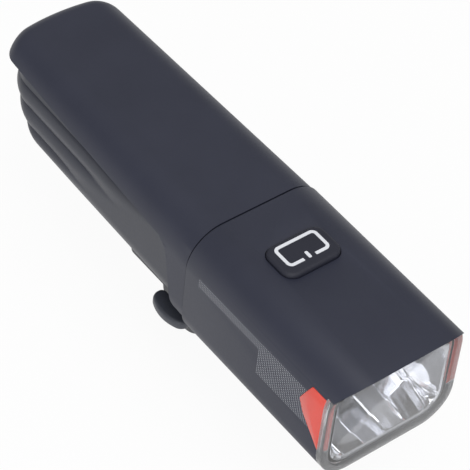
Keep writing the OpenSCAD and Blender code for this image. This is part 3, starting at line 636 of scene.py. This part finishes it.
def mirror_bowl():
    """Thin bowl in mm: the facets on a fine grid, ridges between the panels, and a flared lip."""
    steps = len(FACET_STEPS) - 1
    panels = len(PANEL_EDGES) - 1
    rows = len(FACET_ROWS) - 1
    shape = bmesh.new()
    bmesh.ops.create_grid(shape, x_segments=panels * steps, y_segments=rows * steps, size=1)
    for vert in shape.verts:
        column = round((vert.co.x + 1) / 2 * panels * steps)
        line = round((vert.co.y + 1) / 2 * rows * steps)
        panel = min(column // steps, panels - 1)
        row = min(line // steps, rows - 1)
        across = FACET_STEPS[column - panel * steps]
        up = FACET_STEPS[line - row * steps]
        point = on_panel(panel, row, across, up)
        if across == 0 and panel and 0 < line < rows * steps:
            point = point.lerp(on_panel(panel - 1, row, 1, up), 0.5)
            inward = BOWL_EYE - point
            point += Vector((0, inward.y, inward.z)).normalized() * RIDGE_PROUD
            point.y = max(point.y, BOWL_FRONT)
        point.x, point.z = rounded(point.x, point.z, (-BOWL_HALF, BOWL_LOW), (BOWL_HALF, BOWL_HIGH),
                                   BOWL_CORNER)
        vert.co = point
    mouth = [e for e in shape.edges if e.is_boundary]
    lip = bmesh.ops.extrude_edge_only(shape, edges=mouth)
    middle = (BOWL_LOW + BOWL_HIGH) / 2
    for vert in verts_in(lip["geom"]):
        rise = vert.co.z - middle
        vert.co.x *= 1 + LIP_FLARE / BOWL_HALF
        vert.co.y -= LIP_FLARE
        vert.co.z += rise * (LIP_TOP - BOWL_HIGH if rise > 0 else LIP_FLARE) / (BOWL_HIGH - middle)
    bmesh.ops.recalc_face_normals(shape, faces=shape.faces)
    bmesh.ops.solidify(shape, geom=shape.faces, thickness=BOWL_WALL)
    return carved(shape, cells(LED_LOW, LED_HIGH, (1, 1, 1)))


panelled_mirror = settle(to_metres(mirror_bowl()), "panelled_mirror", "reflector", mirror, 8)
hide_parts("reflector")


# Lens cover and its gasket: their rings stand close round the mirror's mouth
RING_WAS = (4, 5.2)
RING_IN = 5.45
LENS_BACK = -60
LENS_EDGE_R = 0.5


def round_mouth(node):
    """Copy of a node's solid with the inside of its ring pushed out, to clear the mirror."""
    shape = solid_of(node)
    for vert in shape.verts:
        x, y, z = vert.co / MM
        core = Vector((limited(x, -MOUTH_X, MOUTH_X), limited(z - MOUTH_Z, -MOUTH_UP, MOUTH_UP)))
        out = Vector((x, z - MOUTH_Z)) - core
        if RING_WAS[0] < out.length < RING_WAS[1] and y > LENS_BACK - 0.1:
            x, z = core + out.normalized() * RING_IN
            vert.co = Vector((x, y, z + MOUTH_Z)) * MM
    return shape


lens = round_mouth("front_lens")
front_edges = [e for e in sharper(lens, 30) if all(v.co.y < (LENS_BACK - 0.2) * MM for v in e.verts)]
rounded_edges(lens, front_edges, LENS_EDGE_R * MM, 3)
lens_cover = settle(lens, "lens_cover", "front_lens", clear_lens)
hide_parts("front_lens")
lens_seal = settle(round_mouth("lens_gasket"), "lens_seal", "lens_gasket", black_rubber)
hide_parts("lens_gasket")


# Power button: a soft pillow, and its power mark
BUTTON_Y = -30.4
BUTTON_TOP = 41.47
BUTTON_W = 14.7
BUTTON_L = 9.6
BUTTON_CORNER = 2.8
BUTTON_EDGE_R = 0.9
FLANGE_TOP = 38.45
FLANGE_T = 1.1
FLANGE_OUT = 1.2
STEM_R = 2
STEM_LOW = 2.7
STEM_HIGH = 0.9
MARK_W = 10.85
MARK_L = 6.05
MARK_CORNER = 1.35
MARK_LINE = 0.75
MARK_GAP = 1.5
MARK_SHIFT = 0.6
MARK_SINK = 0.02
MARK_T = 0.08
BAR_L = 1.9
BAR_CORNER = 0.3
BAR_FRONT = 2.05
ARC_SIDES = 40


def plate(width, length, corner, height, middle):
    """Flat rectangle with round corners, one face that looks up."""
    shape = bmesh.new()
    bmesh.ops.create_circle(shape, cap_ends=True, segments=ARC_SIDES, radius=corner)
    bmesh.ops.rotate(shape, verts=shape.verts, matrix=Matrix.Rotation(pi / ARC_SIDES, 3, "Z"))
    for vert in shape.verts:
        vert.co.x += (width / 2 - corner) * (1 if vert.co.x > 0 else -1)
        vert.co.y += (length / 2 - corner) * (1 if vert.co.y > 0 else -1) + middle
        vert.co.z = height
    bmesh.ops.recalc_face_normals(shape, faces=shape.faces)
    return shape


def raised(shape, faces, height):
    """Pulls faces up by the given height, and gives the faces on top."""
    pulled = bmesh.ops.extrude_face_region(shape, geom=faces)["geom"]
    bmesh.ops.translate(shape, verts=verts_in(pulled), vec=(0, 0, height))
    return [g for g in pulled if isinstance(g, bmesh.types.BMFace)]


def button_pillow():
    """Flange with a soft-edged pillow on it, and the stem under it."""
    shape = plate(BUTTON_W + 2 * FLANGE_OUT, BUTTON_L + 2 * FLANGE_OUT, BUTTON_CORNER + FLANGE_OUT,
                  FLANGE_TOP - FLANGE_T, BUTTON_Y)
    top = raised(shape, shape.faces[:], FLANGE_T)
    bmesh.ops.recalc_face_normals(shape, faces=shape.faces)
    bmesh.ops.inset_region(shape, faces=top, thickness=FLANGE_OUT, use_boundary=True, use_even_offset=True)
    top = raised(shape, top, BUTTON_TOP - FLANGE_TOP)
    bmesh.ops.delete(shape, geom=[f for f in shape.faces if len(f.verts) == ARC_SIDES and
                                  abs(f.calc_center_median().z - FLANGE_TOP) < 0.01], context="FACES_ONLY")
    rim = list(top[0].edges)
    rounded_edges(shape, rim, BUTTON_EDGE_R, 6, clamp=False)
    bmesh.ops.recalc_face_normals(shape, faces=shape.faces)
    return joined(shape, upright(STEM_R, FLANGE_TOP - STEM_LOW, FLANGE_TOP - STEM_HIGH, 0, BUTTON_Y))


def power_mark():
    """Rounded outline, open at the front, with a short bar in the opening."""
    middle = BUTTON_Y + MARK_SHIFT
    level = BUTTON_TOP - MARK_SINK
    ring = plate(MARK_W, MARK_L, MARK_CORNER, level, middle)
    inner = ring.faces[:]
    bmesh.ops.inset_region(ring, faces=inner, thickness=MARK_LINE, use_boundary=True, use_even_offset=True)
    bmesh.ops.delete(ring, geom=inner, context="FACES_ONLY")
    for side in (-1, 1):
        bmesh.ops.bisect_plane(ring, geom=all_of(ring), plane_co=(side * MARK_GAP, 0, 0), plane_no=(1, 0, 0))
    middles = {f: f.calc_center_median() for f in ring.faces}
    gap = [f for f, spot in middles.items() if abs(spot.x) < MARK_GAP and spot.y < middle]
    bmesh.ops.delete(ring, geom=gap, context="FACES")
    bar = plate(MARK_LINE, BAR_L, BAR_CORNER, level, middle - BAR_FRONT)
    mark = joined(ring, bar)
    raised(mark, mark.faces[:], MARK_T)
    bmesh.ops.recalc_face_normals(mark, faces=mark.faces)
    return mark


power_button = settle(to_metres(button_pillow()), "power_button", "button_cap", button_rubber)
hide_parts("button_cap")
mark = settle(to_metres(power_mark()), "power_mark", "button_cap", white_ink)


# Release tab: the slide's stem as it is, with a rounded thumb paddle at its end
PADDLE_LOW = 8.3
PADDLE_THICK = 2.4
PADDLE_X = -13.2
PADDLE_Y = -6.8
PADDLE_L = 11
PADDLE_BOW = 1.6
PADDLE_W = 3
PADDLE_CORNER = 1.3
PADDLE_EDGE_R = 0.7
STEM_CUT = -12.2
STEM_EDGE_R = 0.15


def thumb_paddle():
    """Bean-shaped lever end, bowed outward, with soft edges."""
    shape = plate(PADDLE_W, PADDLE_L, PADDLE_CORNER, PADDLE_LOW, PADDLE_Y)
    long_edges = [e for e in shape.edges if e.calc_length() > PADDLE_L / 2]
    bmesh.ops.subdivide_edges(shape, edges=long_edges, cuts=11)
    for vert in shape.verts:
        along = (vert.co.y - PADDLE_Y) / (PADDLE_L / 2)
        outer = (1 - vert.co.x / (PADDLE_W / 2)) / 2
        vert.co.x += PADDLE_X - PADDLE_BOW * (1 - along ** 2) * outer
    raised(shape, shape.faces[:], PADDLE_THICK)
    bmesh.ops.recalc_face_normals(shape, faces=shape.faces)
    level_edges = [e for e in shape.edges if abs(e.verts[0].co.z - e.verts[1].co.z) < 0.01]
    rims = [e for e in level_edges if e.calc_face_angle(0) > 1]
    rounded_edges(shape, rims, PADDLE_EDGE_R, 5, clamp=False)
    return shape


stem = solid_of("release_slide")
bmesh.ops.scale(stem, verts=stem.verts, vec=(1 / MM, 1 / MM, 1 / MM))
bmesh.ops.bisect_plane(stem, geom=all_of(stem), plane_co=(STEM_CUT, 0, 0), plane_no=(-1, 0, 0),
                       clear_outer=True)
bmesh.ops.holes_fill(stem, edges=[e for e in stem.edges if e.is_boundary])
rounded_edges(stem, sharper(stem, 30), STEM_EDGE_R, 2)
# The tab's nylon is lightened with painted light against the body's shade
tab = settle(to_metres(joined(stem, thumb_paddle())), "release_tab", "release_slide", tab_nylon_painted_light)
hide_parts("release_slide")

# Release spring: a smooth copy of the coil, with a mesh of its own. The real spring shortens by the tab's
# travel, toward its fixed end
coil = settle(solid_of("slide_spring"), "release_spring", "slide_spring", plated_steel)
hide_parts("slide_spring")
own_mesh(coil)

softened("head_housing", "head_shell", dotted_head, 0.15)
for side in ("left", "right"):
    softened("side_window_" + side, "red_window_" + side, red_window, 0.2, corner=1)
softened("mount_shoe", "hinge_shoe", black_nylon, 0.3)
softened("mount_rail", "slide_rail", black_nylon, 0.15)
softened("port_cover", "port_flap_rubber", black_rubber, 0.25)


# Camera, light and floor: the camera's focal length is in pixels of a picture that wide
FOCAL = 2400
PICTURE = 470
SENSOR = 36
# White tent: its strength at the foot and at the top, and how high its white foot reaches
TENT_LOW = 0.2
TENT_HIGH = 0.65
TENT_FOOT = 0.12
# Share of plain white in what the paper shows to the eye
PAPER_WHITE = 0.94
AIM = Vector((0, 0, 0.02))

eye = bpy.data.cameras.new("camera")
eye.sensor_width = SENSOR
eye.lens = FOCAL / PICTURE * SENSOR
camera = bpy.data.objects.new("camera", eye)
right = Vector((0.7929, -0.6040, 0.0784))
up = Vector((0.3953, 0.6082, 0.6882))
back = Vector((-0.4636, -0.5148, 0.7212))
stand = Matrix((right, up, back)).transposed().to_4x4()
stand.translation = Vector((-0.2344, -0.2696, 0.3919))
camera.matrix_world = stand
scene.collection.objects.link(camera)
scene.camera = camera


def seen_ray(tree):
    """1 for rays that come from the eye, a mirror or clear plastic."""
    path = add(tree, "LightPath")
    seen = path.outputs["Is Camera Ray"]
    for kind in ("Is Glossy Ray", "Is Transmission Ray"):
        seen = add(tree, "Math", {0: seen, 1: path.outputs[kind]}, operation="MAXIMUM").outputs["Value"]
    return seen


scene.view_settings.view_transform = "Standard"
world = bpy.data.worlds.new("studio")
scene.world = world
world.use_nodes = True
# White tent, darker toward its foot, and where the paper sweep ends it shows white to the eye, as the
# paper does
tree = world.node_tree
aim = add(tree, "SeparateXYZ", {"Vector": add(tree, "TexCoord").outputs["Generated"]}).outputs["Z"]
level = add(tree, "MapRange", {"Value": aim, "To Min": TENT_LOW, "To Max": TENT_HIGH}).outputs["Result"]
foot = add(tree, "Math", {0: aim, 1: TENT_FOOT}, operation="LESS_THAN").outputs["Value"]
share = add(tree, "Math", {0: foot, 1: seen_ray(tree)}, operation="MULTIPLY").outputs["Value"]
strength = add(tree, "MapRange", {"Value": share, "To Min": level, "To Max": 1}).outputs["Result"]
tree.links.new(strength, tree.nodes["Background"].inputs["Strength"])
tree.nodes["Background"].inputs["Color"].default_value = linear("#ffffff")


def soft_box(name, place, size, watts):
    """Square lamp that faces the middle of the light."""
    lamp = bpy.data.lights.new(name, "AREA")
    lamp.size = size
    lamp.energy = watts
    holder = bpy.data.objects.new(name, lamp)
    holder.location = place
    holder.rotation_euler = (AIM - Vector(place)).to_track_quat("-Z", "Y").to_euler()
    scene.collection.objects.link(holder)


soft_box("overhead_softbox", (-0.1, -0.4, 0.95), 0.7, 4.5)
soft_box("left_softbox", (-0.75, -0.55, 0.3), 0.6, 2.5)

sheet = bpy.data.meshes.new("floor")
shape = bmesh.new()
bmesh.ops.create_grid(shape, x_segments=1, y_segments=1, size=20)
bmesh.ops.translate(shape, verts=shape.verts, vec=(0, 0, cad_box[0][2]))
shape.to_mesh(sheet)
shape.free()
floor = bpy.data.objects.new("floor", sheet)
scene.collection.objects.link(floor)
# White paper sweep: shows white to the eye, to mirrors and through clear plastic, and keeps a faint shadow
paper, tree, shader, place = surface("white_paper_sweep", Base_Color=linear("#f4f4f4"), Roughness=0.9)
share = add(tree, "Math", {0: seen_ray(tree), 1: PAPER_WHITE}, operation="MULTIPLY")
glow = add(tree, "Emission", {"Color": linear("#ffffff"), "Strength": 1})
mixed = add(tree, "MixShader", {"Fac": share.outputs["Value"], 1: shader.outputs["BSDF"],
                                2: glow.outputs["Emission"]})
tree.links.new(mixed.outputs["Shader"], tree.nodes["Material Output"].inputs["Surface"])
sheet.materials.append(paper)
